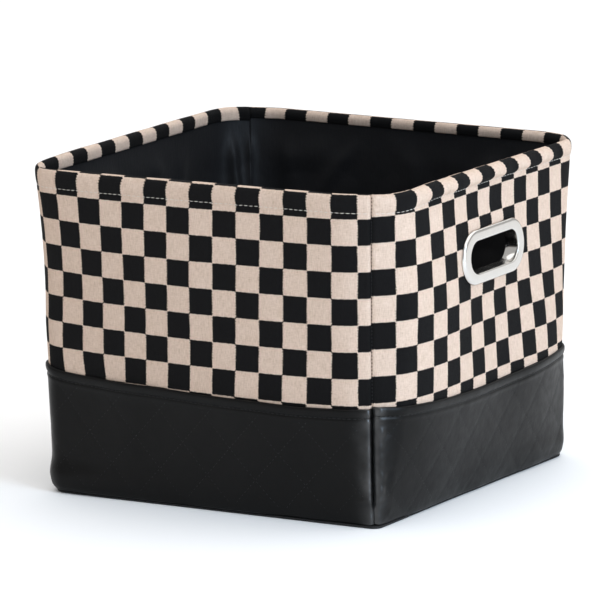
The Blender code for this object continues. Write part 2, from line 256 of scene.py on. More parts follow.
STEPS = (22, 120, 14)
RIGHT_BACK_RUN = Run("right_back", FRONT_RIGHT, STEPS)
LEFT_FRONT_RUN = Run("left_front", BACK_LEFT, STEPS)
RUNS = (RIGHT_BACK_RUN, LEFT_FRONT_RUN)

# ---- small helpers ----


def smooth(x):
    """0 below 0 and 1 above 1, with a smooth step between."""
    x = np.clip(x, 0, 1)
    return x * x * (3 - 2 * x)


def bump(x, width):
    """A smooth hump of height 1 about x = 0."""
    return np.exp(-((x / width) ** 2))


def waves(u, z, seed, lengths, count=9):
    """Smooth pseudo-random undulation of about unit height, with wavelengths between two lengths."""
    rng = np.random.RandomState(seed)
    total = np.zeros(np.broadcast(u, z).shape)
    for _ in range(count):
        wave = rng.uniform(*lengths)
        angle = rng.uniform(0, 2 * math.pi)
        phase = rng.uniform(0, 2 * math.pi)
        total += np.sin(2 * math.pi / wave * (u * math.cos(angle) + z * math.sin(angle)) + phase)
    return total / math.sqrt(count / 2)


def put(name, data):
    """A new object in the scene."""
    made = bpy.data.objects.new(name, data)
    bpy.context.scene.collection.objects.link(made)
    return made


def new_object(name, vertices, faces, surface, uvs=None, body="bin"):
    """A smooth mesh that rides on one of the CAD's bodies."""
    data = bpy.data.meshes.new(name)
    data.from_pydata(np.asarray(vertices, float).reshape(-1, 3).tolist(), [], faces)
    if uvs is not None:
        layer = data.uv_layers.new(name="cloth")
        loops = np.empty(len(data.loops), np.int32)
        data.loops.foreach_get("vertex_index", loops)
        layer.data.foreach_set("uv", np.asarray(uvs, float).reshape(-1, 2)[loops].ravel())
    data.materials.append(surface)
    data.shade_smooth()
    data.validate()
    made = put(name, data)
    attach(made, body)
    return made


def face_outwards(made):
    """Turns a closed mesh's faces so that they all face out of it."""
    mesh = bmesh.new()
    mesh.from_mesh(made.data)
    bmesh.ops.recalc_face_normals(mesh, faces=mesh.faces)
    mesh.to_mesh(made.data)
    mesh.free()


def ring_faces(count, starts):
    """Faces between successive rings of this many points, given each ring's first point."""
    faces = []
    for a, b in zip(starts, starts[1:]):
        for i in range(count):
            j = (i + 1) % count
            faces.append((a + i, a + j, b + j, b + i))
    return faces


def closed_sheet(name, outer, inner, surface, uv, keep=None):
    """A closed sheet between two equal grids of points, holed where keep[row, column] is false."""
    rows, columns = outer.shape[:2]
    if keep is None:
        keep = np.ones((rows - 1, columns - 1), bool)
    number = np.arange(rows * columns).reshape(rows, columns)
    a, b = number[:-1, :-1], number[:-1, 1:]
    c, d = number[1:, 1:], number[1:, :-1]
    front = np.stack([a, b, c, d], -1)[keep]
    shift = rows * columns
    faces = front.tolist() + (front[:, ::-1] + shift).tolist()
    edges = {}
    for quad in front.tolist():
        for i in range(4):
            edge = (quad[i], quad[(i + 1) % 4])
            if edge[::-1] in edges:
                del edges[edge[::-1]]
            else:
                edges[edge] = True
    faces += [(q, p, p + shift, q + shift) for p, q in edges]
    vertices = np.concatenate([outer.reshape(-1, 3), inner.reshape(-1, 3)])
    uvs = np.concatenate([uv.reshape(-1, 2)] * 2)
    used = np.zeros(len(vertices), bool)
    used[np.unique(np.concatenate([np.ravel(front), np.ravel(front) + shift]))] = True
    renumber = np.cumsum(used) - 1
    faces = [[int(renumber[i]) for i in face] for face in faces]
    return new_object(name, vertices[used], faces, surface, uvs[used])


def chain_inner(chain, thickness):
    """A chain of (inset, z) points, moved to its right by the thickness."""
    along = np.gradient(chain, axis=0)
    along /= np.linalg.norm(along, axis=1)[:, None]
    return chain + thickness * np.stack([along[:, 1], -along[:, 0]], 1)


def spline(points, spacing):
    """Points at an even spacing along a smooth curve through the given ones."""
    points = np.array(points, float)
    padded = np.concatenate([[2 * points[0] - points[1]], points, [2 * points[-1] - points[-2]]])
    t = np.linspace(0, 1, 40, endpoint=False)[:, None]
    dense = []
    for p0, p1, p2, p3 in zip(padded, padded[1:], padded[2:], padded[3:]):
        square = (2 * p0 - 5 * p1 + 4 * p2 - p3) * t**2
        cube = (3 * p1 - p0 - 3 * p2 + p3) * t**3
        dense.append(0.5 * (2 * p1 + (p2 - p0) * t + square + cube))
    dense = np.concatenate([*dense, points[-1:]])
    length = np.concatenate([[0], np.cumsum(np.linalg.norm(np.diff(dense, axis=0), axis=1))])
    even = np.linspace(0, length[-1], max(2, round(length[-1] / spacing) + 1))
    return np.stack([np.interp(even, length, column) for column in dense.T], 1)


# ---- handle places ----


def right_spot(y, z):
    """The right wall's outer face at y and z."""
    arcs = corner_arcs(z)
    start, end = arcs[RIGHT][5], arcs[RIGHT + 1][4]
    share = (y - start[1]) / (end[1] - start[1])
    place = start + (end - start) * share
    run = (end - start) / np.linalg.norm(end - start)
    out = bulge(arcs, z, RIGHT, place[None])[0]
    return Vector((place[0] + run[1] * out, place[1] - run[0] * out, z))


def right_handle_frame():
    """The right handle's frame on the cloth: X out of the wall, Y along it, Z up it."""
    reach_y, reach_z = 0.04, 0.02
    along = right_spot(HANDLE_Y + reach_y, HANDLE_Z) - right_spot(HANDLE_Y - reach_y, HANDLE_Z)
    along.normalize()
    rise = right_spot(HANDLE_Y, HANDLE_Z + reach_z) - right_spot(HANDLE_Y, HANDLE_Z - reach_z)
    out = along.cross(rise).normalized()
    made = Matrix((out, along, out.cross(along))).transposed().to_4x4()
    made.translation = right_spot(HANDLE_Y, HANDLE_Z)
    return made


HANDLES = {"right": right_handle_frame()}
HANDLES["left"] = Matrix.Rotation(math.pi, 4, "Z") @ HANDLES["right"]


def local_depths(node):
    """A CAD node's lowest and highest X in the right handle's frame."""
    inverse = HANDLES["right"].inverted()
    depths = [(inverse @ v.co).x for v in frame["nodes"][node].data.vertices]
    return min(depths), max(depths)


EYELET_LOW, EYELET_HIGH = local_depths("right_handle_eyelet")
WASHER_LOW, WASHER_HIGH = local_depths("right_handle_washer")
EYELET_RISE = 0.0028
FLANGE_FOOT = EYELET_HIGH - EYELET_RISE
HANDLE_REACH = 0.05  # points further than this from a handle's plane are on other walls
PRESSED = 0.016  # how far round a handle the cloth is drawn to it


def oval_distance(y, z, size):
    """How far a point lies outside an oval with straight sides."""
    radius = size[1] / 2
    reach = size[0] / 2 - radius
    return np.hypot(np.maximum(np.abs(y) - reach, 0), z) - radius


def to_local(points, matrix):
    inverse = np.array(matrix.inverted())
    return points @ inverse[:3, :3].T + inverse[:3, 3]


def to_world(points, matrix):
    rows = np.array(matrix)
    return points @ rows[:3, :3].T + rows[:3, 3]


def rim_drop(points):
    """How far points near the rim lie below the CAD's, along the front and right walls."""
    x, y, z = points[..., 0], points[..., 1], points[..., 2]
    forward = smooth((x - y) / 0.05 + 0.6)
    depth = RIM_DROP[0] + RIM_DROP[1] * bump(x + y - 0.02, 0.03)
    start = RIM_MOVES_FROM + 0.030 * smooth((x + y - 0.03) / 0.05)
    return depth * forward * smooth((z - start) / (RIM_MOVES_WHOLE - start))


def move_rim(points):
    """Moves points near the rim up towards the back corner and down along the front and right walls."""
    points = np.array(points, float)
    x, y, z = points[..., 0], points[..., 1], points[..., 2]
    backward = np.clip((y - x) / TOP_SIDE, 0, 1)
    on_back_wall = smooth((x + y) / 0.06 + 0.5)
    left_rise = RIM_RISE[0] * backward**0.75
    back_rise = RIM_RISE[1] * backward
    rise = left_rise + (back_rise - left_rise) * on_back_wall
    rise = rise * smooth((z - RIM_MOVES_FROM) / (RIM_MOVES_WHOLE - RIM_MOVES_FROM))
    points[..., 2] = z + rise - rim_drop(points)
    return points


def press(points, matrix, depth, size):
    """Presses the cloth round a handle to a plane at this local depth."""
    local = to_local(points, matrix)
    near = np.abs(local[..., 0]) < HANDLE_REACH
    weight = smooth(1 - (oval_distance(local[..., 1], local[..., 2], size) - 0.0005) / PRESSED) * near
    local[..., 0] += weight * (depth - local[..., 0])
    return to_world(local, matrix)


def slot_keep(points, matrix):
    """The cells of a grid that a handle's slot leaves."""
    local = to_local(points, matrix)
    away = oval_distance(local[..., 1], local[..., 2], SLOT)
    outside = (away > 0) | (np.abs(local[..., 0]) > HANDLE_REACH)
    corners = (outside[:-1, :-1], outside[:-1, 1:], outside[1:, 1:], outside[1:, :-1])
    return sum(corner.astype(int) for corner in corners) >= 2


def even_slot(points, keep, matrix):
    """Moves the vertices on the slot's edge onto the oval."""
    rows, columns = points.shape[:2]
    touches_out = np.zeros((rows, columns), bool)
    touches_in = np.zeros((rows, columns), bool)
    for dr, dc in ((0, 0), (0, 1), (1, 0), (1, 1)):
        touches_in[dr : rows - 1 + dr, dc : columns - 1 + dc] |= ~keep
        touches_out[dr : rows - 1 + dr, dc : columns - 1 + dc] |= keep
    edge = touches_in & touches_out
    local = to_local(points, matrix)
    radius = SLOT[1] / 2
    reach = SLOT[0] / 2 - radius
    y, z = local[edge, 1], local[edge, 2]
    core = np.clip(y, -reach, reach)
    from_core = np.maximum(np.hypot(y - core, z), 1e-6)
    local[edge, 1] = core + (y - core) / from_core * radius
    local[edge, 2] = z / from_core * radius
    result = points.copy()
    result[edge] = to_world(local, matrix)[edge]
    return result


def fit_handle(run, outer, inner, depths, size):
    """Presses a wall's two grids flat round its handle, at these local depths, and cuts its slot."""
    matrix = HANDLES[run.side]
    outer, inner = (press(points, matrix, depth, size) for points, depth in zip((outer, inner), depths))
    keep = slot_keep(outer, matrix)
    return even_slot(outer, keep, matrix), even_slot(inner, keep, matrix), keep


# ---- node materials ----


class Nodes:
    """Short calls for building a node tree."""

    def __init__(self, name):
        self.material = bpy.data.materials.new(name)
        self.material.use_nodes = True
        self.tree = self.material.node_tree
        self.shader = self.tree.nodes["Principled BSDF"]
        self.material.diffuse_color = (0.5, 0.5, 0.5, 1)

    def add(self, kind, **settings):
        node = self.tree.nodes.new(kind)
        for key, value in settings.items():
            setattr(node, key, value)
        return node

    def link(self, source, target):
        self.tree.links.new(source, target)

    def feed(self, socket, value):
        """Links another node's output to a socket, or sets the socket to a number or a colour."""
        if isinstance(value, bpy.types.NodeSocket):
            self.link(value, socket)
        elif isinstance(value, tuple):
            socket.default_value = (*value, 1)
        else:
            socket.default_value = value

    def math(self, operation, a, b=0.0):
        node = self.add("ShaderNodeMath", operation=operation)
        for socket, value in zip(node.inputs, (a, b)):
            self.feed(socket, value)
        return node.outputs[0]

    def total(self, *pairs):
        """The sum of values, each times its weight."""
        parts = [self.math("MULTIPLY", value, weight) for value, weight in pairs]
        sum_so_far = parts[0]
        for part in parts[1:]:
            sum_so_far = self.math("ADD", sum_so_far, part)
        return sum_so_far

    def centred(self, value):
        """A value from 0 to 1, moved to lie about 0."""
        return self.math("SUBTRACT", value, 0.5)

    def object_place(self):
        return self.add("ShaderNodeTexCoord").outputs["Object"]

    def cloth_place(self):
        return self.add("ShaderNodeUVMap", uv_map="cloth").outputs["UV"]

    def scaled(self, place, scale):
        node = self.add("ShaderNodeMapping")
        self.link(place, node.inputs["Vector"])
        node.inputs["Scale"].default_value = scale
        return node.outputs["Vector"]

    def noise(self, place, scale, detail=2.0, roughness=0.5):
        node = self.add("ShaderNodeTexNoise")
        self.link(place, node.inputs["Vector"])
        node.inputs["Scale"].default_value = scale
        node.inputs["Detail"].default_value = detail
        node.inputs["Roughness"].default_value = roughness
        return node.outputs["Fac"]

    def cells(self, place, scale):
        node = self.add("ShaderNodeTexVoronoi", feature="F1")
        self.link(place, node.inputs["Vector"])
        node.inputs["Scale"].default_value = scale
        return node.outputs["Distance"]

    def thread_step(self, across, per_check, even, uneven):
        """An edge's jump from thread to thread: every other one reaches further, each by its own bit."""
        thread = self.math("FLOOR", self.math("MULTIPLY", across, per_check))
        other = self.centred(self.math("FLOORED_MODULO", thread, 2.0))
        random = self.add("ShaderNodeTexWhiteNoise", noise_dimensions="1D")
        self.link(thread, random.inputs["W"])
        return self.total((other, even), (self.centred(random.outputs["Value"]), uneven))

    def ramp(self, value, stops):
        node = self.add("ShaderNodeValToRGB")
        elements = node.color_ramp.elements
        while len(elements) < len(stops):
            elements.new(0.5)
        for element, (position, colour) in zip(elements, stops):
            element.position = position
            element.color = (*colour, 1)
        self.feed(node.inputs["Fac"], value)
        return node.outputs["Color"]

    def range(self, value, low, high, to_low, to_high):
        node = self.add("ShaderNodeMapRange", clamp=True)
        for socket, number in zip(node.inputs, (value, low, high, to_low, to_high)):
            self.feed(socket, number)
        return node.outputs[0]

    def mix(self, share, a, b):
        node = self.add("ShaderNodeMix", data_type="RGBA")
        for index, value in ((0, share), (6, a), (7, b)):
            self.feed(node.inputs[index], value)
        return node.outputs[2]

    def bump(self, height, distance, strength=1.0, below=None):
        node = self.add("ShaderNodeBump")
        node.inputs["Distance"].default_value = distance
        node.inputs["Strength"].default_value = strength
        self.feed(node.inputs["Height"], height)
        if below is not None:
            self.link(below, node.inputs["Normal"])
        return node.outputs["Normal"]

    def set(self, **values):
        """Feeds the shader and gives back the finished material."""
        names = {
            "colour": "Base Color",
            "specular": "Specular IOR Level",
            "sheen": "Sheen Weight",
            "sheen_roughness": "Sheen Roughness",
        }
        for key, value in values.items():
            self.feed(self.shader.inputs[names.get(key, key.capitalize())], value)
        return self.material


def checked_cloth():
    """Woven checks: the cloth map counts checks along and up from the first one at the seam and the hem."""
    n = Nodes("checked_cloth")
    place = n.cloth_place()
    split = n.add("ShaderNodeSeparateXYZ")
    n.link(place, split.inputs[0])
    along, up = split.outputs[0], split.outputs[1]
    wander = n.noise(place, 1.3, 2)
    x = n.math("ADD", along, n.thread_step(up, 19.0, 0.028, 0.020))
    x = n.math("ADD", x, n.math("MULTIPLY", n.centred(wander), 0.05))
    y = n.math("ADD", up, n.thread_step(along, 25.0, 0.010, 0.018))

    def side(value):
        """1 on one half of a two-check cycle and -1 on the other, with an edge a thread wide."""
        cycle = n.math("MULTIPLY", n.math("FRACT", n.math("MULTIPLY", value, 0.5)), 2.0)
        tent = n.math("SUBTRACT", 0.5, n.math("ABSOLUTE", n.math("SUBTRACT", cycle, 0.5)))
        far = n.math("SUBTRACT", n.math("ABSOLUTE", n.math("SUBTRACT", cycle, 1.5)), 0.5)
        nearest = n.math("MAXIMUM", tent, n.math("MULTIPLY", far, -1.0))
        signed = n.math("MULTIPLY", nearest, n.math("SIGN", n.math("SUBTRACT", 1.0, cycle)))
        return n.range(signed, -0.010, 0.010, -1.0, 1.0)

    check = n.range(n.math("MULTIPLY", side(x), side(y)), -0.6, 0.6, 0.0, 1.0)
    warp = n.noise(n.scaled(place, (44, 5, 1)), 1.0, 2, 0.6)
    slub = n.noise(n.scaled(place, (20, 2.6, 1)), 1.0, 2, 0.6)
    weft = n.noise(n.scaled(place, (4.5, 34, 1)), 1.0, 2, 0.6)
    blotch = n.noise(place, 2.6, 3, 0.6)
    threads_x = n.math("SINE", n.math("MULTIPLY", along, 2 * math.pi * CHECK / THREAD_PITCH))
    threads_y = n.math("SINE", n.math("MULTIPLY", up, 2 * math.pi * CHECK / THREAD_PITCH))
    weave = n.math("MULTIPLY", threads_x, threads_y)
    shade = n.total((warp, 0.40), (slub, 0.26), (weft, 0.34))
    cream_stops = [(0.34, (0.50, 0.36, 0.265)), (0.50, (0.665, 0.505, 0.40)), (0.64, (0.76, 0.605, 0.50))]
    cream = n.ramp(shade, cream_stops)
    cream = n.mix(n.range(blotch, 0.35, 0.70, 0.0, 0.22), cream, (0.80, 0.64, 0.54))
    black = n.ramp(shade, [(0.35, (0.0022, 0.0021, 0.0022)), (0.65, (0.0062, 0.0058, 0.0060))])
    lint = n.noise(n.scaled(place, (9, 60, 1)), 1.0, 2, 0.8)
    black = n.mix(n.range(lint, 0.74, 0.82, 0.0, 0.30), black, (0.09, 0.078, 0.068))
    colour = n.mix(check, black, cream)
    fine = n.bump(n.math("ADD", n.math("MULTIPLY", weave, 0.35), shade), 0.00035, 0.9)
    normal = n.bump(n.noise(place, 2.2, 3), 0.0009, 0.35, fine)
    return n.set(
        colour=colour,
        roughness=n.range(warp, 0.3, 0.7, 0.80, 0.95),
        normal=normal,
        specular=0.14,
    )


def leatherette():
    """Pebbled black leatherette, more specular beside the corner seams, where the cloth map's x is near 0."""
    n = Nodes("leatherette")
    place = n.object_place()
    pebble = n.cells(place, 900.0)
    crease = n.noise(place, 260.0, 4, 0.6)
    broad = n.noise(place, 22.0, 2)
    fine = n.bump(n.total((pebble, 0.5), (crease, 0.8)), 0.00016, 0.5)
    normal = n.bump(n.noise(place, 55.0, 2), 0.0010, 0.35, fine)
    split = n.add("ShaderNodeSeparateXYZ")
    n.link(n.cloth_place(), split.inputs[0])
    uneven = n.math("MULTIPLY", n.centred(n.noise(place, 70.0, 2)), 0.012)
    beside_seam = n.math("ADD", split.outputs[0], uneven)
    polish = n.math("POWER", n.range(beside_seam, 0.001, 0.024, 1.0, 0.0), 4.5)
    return n.set(
        colour=n.mix(broad, (0.0018, 0.0017, 0.0016), (0.0038, 0.0036, 0.0035)),
        roughness=n.range(n.noise(place, 130.0, 3), 0.3, 0.7, 0.30, 0.42),
        normal=normal,
        specular=n.range(polish, 0.0, 1.0, 0.13, 0.95),
    )


def lining():
    n = Nodes("lining")
    place = n.object_place()
    streak = n.noise(n.scaled(place, (700, 700, 90)), 1.0, 3, 0.6)
    normal = n.bump(streak, 0.0003, 0.5)
    normal = n.bump(n.noise(place, 30.0, 3), 0.002, 0.4, normal)
    return n.set(
        colour=n.mix(n.noise(place, 18.0, 3), (0.0034, 0.0035, 0.0044), (0.0062, 0.0064, 0.0078)),
        roughness=n.range(streak, 0.3, 0.7, 0.50, 0.66),
        normal=normal,
        specular=0.22,
        sheen=0.08,
        sheen_roughness=0.4,
    )


def nickel(name, low, high, tint):
    n = Nodes(name)
    place = n.object_place()
    brush = n.noise(n.scaled(place, (200, 1500, 1500)), 1.0, 3, 0.6)
    haze = n.noise(place, 90.0, 3)
    return n.set(
        colour=n.mix(haze, tint, tuple(0.93 * part for part in tint)),
        metallic=1.0,
        roughness=n.range(n.total((brush, 0.4), (haze, 0.6)), 0.3, 0.7, low, high),
        normal=n.bump(haze, 0.0006, 0.12),
    )


def thread(name, dark, light, roughness, specular=0.3):
    n = Nodes(name)
    place = n.object_place()
    twist = n.noise(place, 2600.0, 2)
    return n.set(
        colour=n.mix(twist, dark, light),
        roughness=roughness,
        normal=n.bump(twist, 0.00012, 0.8),
        specular=specular,
    )


def fibreboard():
    n = Nodes("fibreboard")
    place = n.object_place()
    fibres = n.noise(n.scaled(place, (300, 300, 1200)), 1.0, 4, 0.7)
    blotch = n.noise(place, 25.0, 3)
    colour = n.mix(blotch, (0.22, 0.17, 0.12), (0.36, 0.29, 0.21))
    colour = n.mix(n.range(fibres, 0.35, 0.65, 0.0, 0.6), colour, (0.45, 0.38, 0.29))
    return n.set(
        colour=colour,
        roughness=n.range(fibres, 0.3, 0.7, 0.8, 0.95),
        normal=n.bump(fibres, 0.0004, 0.7),
    )


def base_cloth():
    n = Nodes("base_cloth")
    place = n.object_place()
    felt = n.noise(place, 900.0, 3, 0.7)
    dimple = n.cells(place, 420.0)
    return n.set(
        colour=n.mix(felt, (0.0060, 0.0060, 0.0064), (0.0150, 0.0150, 0.0155)),
        roughness=n.range(felt, 0.3, 0.7, 0.55, 0.80),
        normal=n.bump(n.math("ADD", felt, n.math("MULTIPLY", dimple, 0.8)), 0.0004, 0.6),
        specular=0.3,
    )


CHECKED = checked_cloth()
LEATHERETTE = leatherette()
LINING = lining()
EYELET_METAL = nickel("eyelet_metal", 0.12, 0.20, (0.67, 0.65, 0.62))
WASHER_METAL = nickel("washer_metal", 0.22, 0.36, (0.78, 0.775, 0.765))
WIRE_METAL = nickel("wire_metal", 0.30, 0.45, (0.45, 0.45, 0.46))
CREAM_THREAD = thread("cream_thread", (0.50, 0.44, 0.38), (0.86, 0.80, 0.73), 0.6)
BLACK_THREAD = thread("black_thread", (0.010, 0.010, 0.011), (0.030, 0.030, 0.032), 0.5)
GLINT_THREAD = thread("band_thread", (0.005, 0.005, 0.005), (0.011, 0.011, 0.011), 0.34, 0.26)
FIBREBOARD = fibreboard()
BASE_CLOTH = base_cloth()

# ---- checked cloth panels and hem ----

STITCH_Z = HEIGHT - STITCH_DOWN
PANEL_FOOT = 0.070
# Where the first check starts along each piece of cloth, and below its topstitch
COLUMN_SHIFT = {"left_front": 0.0098, "right_back": 0.0015}
ROW_SHIFT = {"left_front": 0.0060, "right_back": 0.0035}
# How the sewn cloth has crept along the walls: a power of the distance, then the amount at the middle
# height and its slope and curve with height
CREEP_ALONG = {"left_front": (1, 0.0047, 0.0015, -0.0051), "right_back": (2, 0.0113, 0.0032, -0.0077)}
# Past the folded corner: the jump there, and the growth with distance
CREEP_PAST = {"left_front": (0.0010, 0.0195), "right_back": (0.0050, 0.024)}
# And up the walls: at the seam, halfway to the fold, and away from the middle height
CREEP_UP = {"left_front": (-0.0003, -0.0036, -0.0007), "right_back": (-0.0012, 0.0014, -0.0009)}
# And beside the left folded corner: height, amounts along the wall well before the fold, just before it and
# at it, and the amount up the wall at it
FOLD_CREEP = [
    (0.085, 0.0048, 0.0044, 0.0084, 0.0036),
    (0.096, 0.0034, 0.0030, 0.0085, 0.0032),
    (0.110, 0.0003, 0.0004, 0.0083, 0.0027),
    (0.130, 0.0, -0.0015, 0.0078, 0.0020),
    (0.155, 0.0, -0.0012, 0.0068, 0.0014),
    (0.175, 0.0, 0.0004, 0.0058, 0.0010),
    (0.190, 0.0, 0.0009, 0.0034, 0.0006),
    (0.210, 0.0, 0.0004, 0.0035, 0.0003),
    (0.238, 0.0, -0.0005, 0.0010, 0.0),
]
CREEP_LENGTH = 0.280
CREEP_MIDDLE, CREEP_HALF = 0.170, 0.080
# The hem's section from the topstitch up and over the wire: how far in, and height
HEM_CHAIN = [
    (0.0000, STITCH_Z),
    (-0.0003, STITCH_Z + 0.0020),
    (-0.0004, STITCH_Z + 0.0060),
    (-0.0002, HEIGHT - 0.0048),
    (0.0003, HEIGHT - 0.0026),
    (0.0016, HEIGHT - 0.0008),
    (0.0035, HEIGHT - 0.0001),
    (0.0054, HEIGHT - 0.0008),
    (0.0067, HEIGHT - 0.0026),
    (0.0070, HEIGHT - 0.0046),
]
HEM_INSIDE = {"left_front": 0.0106, "right_back": 0.0086}  # how far the hem comes down inside
HEM_END_INSET = 0.0057
HEM_GATHER = {"left_front": 0.91, "right_back": 0.94}  # checks per length of hem, against the open cloth
HEM_FULLNESS = {"front": 0.0014, "side": 0.0036}  # how far the hem's tube stands out of each kind of wall
FOLD_WIDTH = 0.0105
# How far the folded corners stand out of the CAD's straight ones: height, distance
FOLD_LINE = {
    "left_front": [
        (0.000, 0.0),
        (0.030, 0.0),
        (0.065, 0.0010),
        (0.100, 0.0014),
        (0.130, 0.0008),
        (0.152, -0.0007),
        (0.180, -0.0018),
        (0.200, -0.0023),
        (0.218, -0.0021),
        (0.234, -0.0017),
        (0.254, -0.0018),
    ],
    "right_back": [
        (0.000, -0.0003),
        (0.030, 0.0005),
        (0.065, 0.0003),
        (0.084, -0.0016),
        (0.115, -0.0021),
        (0.147, -0.0027),
        (0.163, -0.0034),
        (0.210, -0.0037),
        (0.226, -0.0026),
        (0.240, -0.0020),
        (0.254, -0.0020),
    ],
}


def from_ends(run, u):
    """Distance from the nearer seam."""
    return np.minimum(u, run.length - u)


def cloth_detail(run, u, z):
    """How far the cloth lies out of the plain wall surface."""
    seam = from_ends(run, u)
    groove = -0.0013 * bump(seam, 0.0012) + 0.0003 * bump(seam - 0.0035, 0.0020)
    puckers = 0.00012 * bump(seam, 0.006) * np.sin(2 * math.pi * z / 0.0065)
    ripple = 0.00022 * waves(u, z, 3 if run.forward else 4, (0.045, 0.12))
    return groove + puckers + ripple * smooth(seam / 0.02) + fold_line(run, u, z)


def band_groove(run, u, z):
    """The leatherette's corner seam: a groove between two puffed ridges, ending a little above the base."""
    seam = from_ends(run, u)
    deep = smooth((z - 0.013) / 0.009)
    ridge_at, ridge_width = (0.0056, 0.0028) if run.forward else (0.0036, 0.0030)
    groove = -0.0020 * bump(seam, 0.0011)
    ridge = 0.0013 * bump(seam - ridge_at, ridge_width)
    return (groove + ridge) * deep


def hem_fullness(run, u):
    """How far the hem's tube stands out: least at the seams and folds, most on the side walls."""
    first, second = ("side", "front") if run.forward else ("front", "side")
    before = np.clip(u / run.fold, 0, 1)
    after = np.clip((run.length - u) / (run.length - run.fold), 0, 1)
    share = np.where(u < run.fold, before, after)
    most = np.where(u < run.fold, HEM_FULLNESS[first], HEM_FULLNESS[second])
    return most * smooth(share / 0.25 + 0.15) * smooth((1 - share) / 0.18)


def fold_line(run, u, z):
    """How far the cloth stands out beside a folded corner."""
    heights, out = zip(*FOLD_LINE[run.name])
    return np.interp(z, heights, out) * bump(run.past_fold(u, z), FOLD_WIDTH)


def creep(run, u, z):
    """How far the checks have moved along and up, against an even grid."""
    t = np.clip(u / CREEP_LENGTH, 0, 1.04)
    w = (np.minimum(z, STITCH_Z) - CREEP_MIDDLE) / CREEP_HALF
    power, level, slope, curve = CREEP_ALONG[run.name]
    jump, growth = CREEP_PAST[run.name]
    past = u - run.fold
    along = t**power * (level + slope * w + curve * w**2)
    along = along + jump * smooth(past / 0.03) + growth * np.maximum(past, 0)
    seam, middle, away = CREEP_UP[run.name]
    up = seam * (1 - t**2) + middle * t * (1 - t) + away * w**2
    if run is LEFT_FRONT_RUN:
        heights, well_before, before, at_fold, up_fold = zip(*FOLD_CREEP)
        near = run.past_fold(u, z)
        fading = np.where(near > 0.003, 0.12, 0.012)
        along = along + np.interp(z, heights, well_before) * bump(near + 0.042, 0.028)
        along = along + np.interp(z, heights, before) * bump(near + 0.012, 0.012)
        along = along + np.interp(z, heights, at_fold) * bump(near - 0.003, fading)
        up = up + np.interp(z, heights, up_fold) * bump(near - 0.004, 0.011)
    return along, up


def checked_panel(run):
    """One piece of checked cloth, from under the band up the wall, over the wire and down inside."""
    rise = np.linspace(PANEL_FOOT, STITCH_Z, 86)[:-1]
    end_z = HEIGHT - HEM_INSIDE[run.name]
    hem = spline([*HEM_CHAIN, (0.0065, end_z + 0.0020), (HEM_END_INSET, end_z)], 0.0010)
    chain = np.concatenate([np.stack([np.zeros_like(rise), rise], 1), hem])
    inner = chain_inner(chain, FABRIC)
    shape = (len(chain), run.columns)
    z = np.broadcast_to(chain[:, 1:2], shape)
    first_hem = len(rise)
    arc = np.concatenate([[0], np.cumsum(np.linalg.norm(np.diff(chain, axis=0), axis=1))])
    arc -= arc[first_hem]
    crest = arc[np.argmax(chain[:, 1])]
    inside = arc > crest
    wall_z = np.where(arc > 0, STITCH_Z, chain[:, 1])[:, None]
    u = run.distance(z)
    tube = np.sin(math.pi * np.clip(arc / crest, 0, 1)) ** 0.8
    hump = tube[:, None] * hem_fullness(run, u)
    soft = 1 + 0.16 * waves(u, z, 11 if run.forward else 12, (0.018, 0.05))
    pinch = -0.00015 * bump(z - STITCH_Z, 0.0015) * (~inside[:, None])
    fold = fold_line(run, u, z)
    detail = cloth_detail(run, u, z) - fold
    lower = np.where(z < BAND_TOP - 0.004, band_groove(run, u, z), 0)
    out = fold + detail * np.where(inside, -1, 1)[:, None] + hump * soft + pinch + np.minimum(lower, 0)
    outer_grid = run.grid(z, out - chain[:, 0:1])
    inner_z = np.broadcast_to(inner[:, 1:2], shape)
    inner_grid = run.grid(inner_z, out - inner[:, 0:1])
    depths = (FLANGE_FOOT - CLEAR, FLANGE_FOOT - CLEAR - FABRIC)
    outer_grid, inner_grid, keep = fit_handle(run, outer_grid, inner_grid, depths, FLANGE)
    fallen = rim_drop(outer_grid)
    along, up = creep(run, u, wall_z)
    in_hem = np.clip(arc / crest, 0, 1)[:, None]
    up = up + np.where(in_hem > 0, fallen[first_hem] * (1 - in_hem), fallen)
    cloth_x = (u + COLUMN_SHIFT[run.name] + along) / CHECK
    rows = np.where(arc > 0, arc * HEM_GATHER[run.name], arc)[:, None]
    cloth_y = (rows + ROW_SHIFT[run.name] - up) / CHECK
    uv = np.stack([cloth_x, cloth_y], 2)
    outer_grid, inner_grid = move_rim(outer_grid), move_rim(inner_grid)
    panel = closed_sheet(f"checked_cloth_{run.name}", outer_grid, inner_grid, CHECKED, uv, keep)
    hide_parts(f"fabric_panel_{run.name}")


# ---- leatherette band ----

BAND_STITCH_DOWN = 0.0077
QUILT_WIDE, QUILT_TALL = 0.042, 0.046
QUILT_ACROSS = 0.031  # from one of the quilting's lines to the next
# One crossing of the quilting's lines on each piece: along, and height
QUILT_CROSSING = {"left_front": (0.053, 0.0745), "right_back": (0.054, 0.071)}
EDGE_CHAIN = [
    (0.0013, 0.0),
    (0.0021, 0.0011),
    (0.0026, 0.0034),
    (0.0025, 0.0056),
    (0.0019, 0.0068),
    (0.0010, 0.0071),
    (0.0004, 0.0065),
]


def band_top(run, u):
    """Height of the band's edge: it climbs along the front wall and dips in the right wall's middle."""
    t = u / CREEP_LENGTH
    ripple = 0.0003 * waves(u, 0.0, 21 if run.forward else 22, (0.05, 0.2), 4)
    if run.forward:
        dip = -0.0060 * 4 * t * (1 - t)
        return 0.0925 + np.where(t < 1, dip, -0.0020 * smooth((t - 1) / 0.5)) + ripple
    lip = 0.0044 * bump(run.past_fold(u, BAND_TOP) - 0.006, 0.016)
    climb = np.where(t < 1.1, 0.0044 * t**2, 0.0053 - 0.003 * smooth((t - 1.1) / 0.8))
    return 0.0905 + climb + lip + ripple


